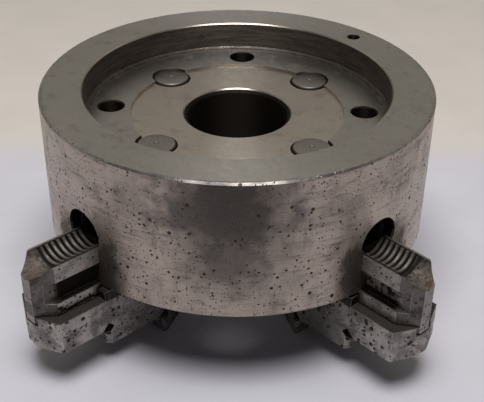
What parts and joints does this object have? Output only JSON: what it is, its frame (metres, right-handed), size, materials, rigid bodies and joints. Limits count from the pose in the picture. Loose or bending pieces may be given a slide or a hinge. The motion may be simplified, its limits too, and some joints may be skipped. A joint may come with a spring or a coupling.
{
  "type": "lathe chuck",
  "caption": "Independent-jaw lathe chuck with a recessed, bored mounting side, radial operating screws and two-piece stepped jaws.",
  "frame": {"origin": "on the chuck's axis, level with the lowest faces of the top jaws, on which it stands face down", "axes": "+Z along the spindle axis towards the mounting side; +X along jaw 1, +Y along jaw 2"},
  "size_m": [0.264, 0.268, 0.118],
  "materials": {
    "body_steel": "turned and worn, with small dark pits",
    "plug_steel": "turned, with fine rings",
    "screw_steel": "dark and oily",
    "jaw_steel": "ground, pitted, with rust in the half nut",
    "top_jaw_steel": "ground and pitted",
    "bolt_black": "black oxide"
  },
  "bodies": {
    "chuck": {"chuck_body": "body_steel", "thrust_block_1": "plug_steel", "thrust_block_2": "plug_steel", "thrust_block_3": "plug_steel", "thrust_block_4": "plug_steel"},
    "jaw_1": {"master_jaw_1": "jaw_steel", "top_jaw_1": "top_jaw_steel", "jaw_bolts_1": "bolt_black"},
    "screw_1": {"jaw_screw_1": "screw_steel"},
    "jaw_2": {"master_jaw_2": "jaw_steel", "top_jaw_2": "top_jaw_steel", "jaw_bolts_2": "bolt_black"},
    "screw_2": {"jaw_screw_2": "screw_steel"},
    "jaw_3": {"master_jaw_3": "jaw_steel", "top_jaw_3": "top_jaw_steel", "jaw_bolts_3": "bolt_black"},
    "screw_3": {"jaw_screw_3": "screw_steel"},
    "jaw_4": {"master_jaw_4": "jaw_steel", "top_jaw_4": "top_jaw_steel", "jaw_bolts_4": "bolt_black"},
    "screw_4": {"jaw_screw_4": "screw_steel"}
  },
  "joints": [
    {"name": "jaw_1_slide", "type": "slide", "parent": "chuck", "child": "jaw_1", "axis": [1, 0, 0], "range_m": [-0.034, 0.011]},
    {"name": "screw_1_turn", "type": "hinge", "parent": "chuck", "child": "screw_1", "pos_m": [0.0535, 0, 0.0715], "axis": [1, 0, 0], "range_deg": [-3857, 1249]},
    {"name": "jaw_2_slide", "type": "slide", "parent": "chuck", "child": "jaw_2", "axis": [0, 1, 0], "range_m": [-0.036, 0.009]},
    {"name": "screw_2_turn", "type": "hinge", "parent": "chuck", "child": "screw_2", "pos_m": [0, 0.0535, 0.0715], "axis": [0, 1, 0], "range_deg": [-4083, 1022]},
    {"name": "jaw_3_slide", "type": "slide", "parent": "chuck", "child": "jaw_3", "axis": [-1, 0, 0], "range_m": [-0.034, 0.011]},
    {"name": "screw_3_turn", "type": "hinge", "parent": "chuck", "child": "screw_3", "pos_m": [-0.0535, 0, 0.0715], "axis": [-1, 0, 0], "range_deg": [-3857, 1249]},
    {"name": "jaw_4_slide", "type": "slide", "parent": "chuck", "child": "jaw_4", "axis": [0, -1, 0], "range_m": [-0.036, 0.009]},
    {"name": "screw_4_turn", "type": "hinge", "parent": "chuck", "child": "screw_4", "pos_m": [0, -0.0535, 0.0715], "axis": [0, -1, 0], "range_deg": [-4083, 1022]}
  ],
  "couplings": [
    {"joint": "screw_1_turn", "follows": "jaw_1_slide", "rad_per_m": 1979},
    {"joint": "screw_2_turn", "follows": "jaw_2_slide", "rad_per_m": 1979},
    {"joint": "screw_3_turn", "follows": "jaw_3_slide", "rad_per_m": 1979},
    {"joint": "screw_4_turn", "follows": "jaw_4_slide", "rad_per_m": 1979}
  ]
}
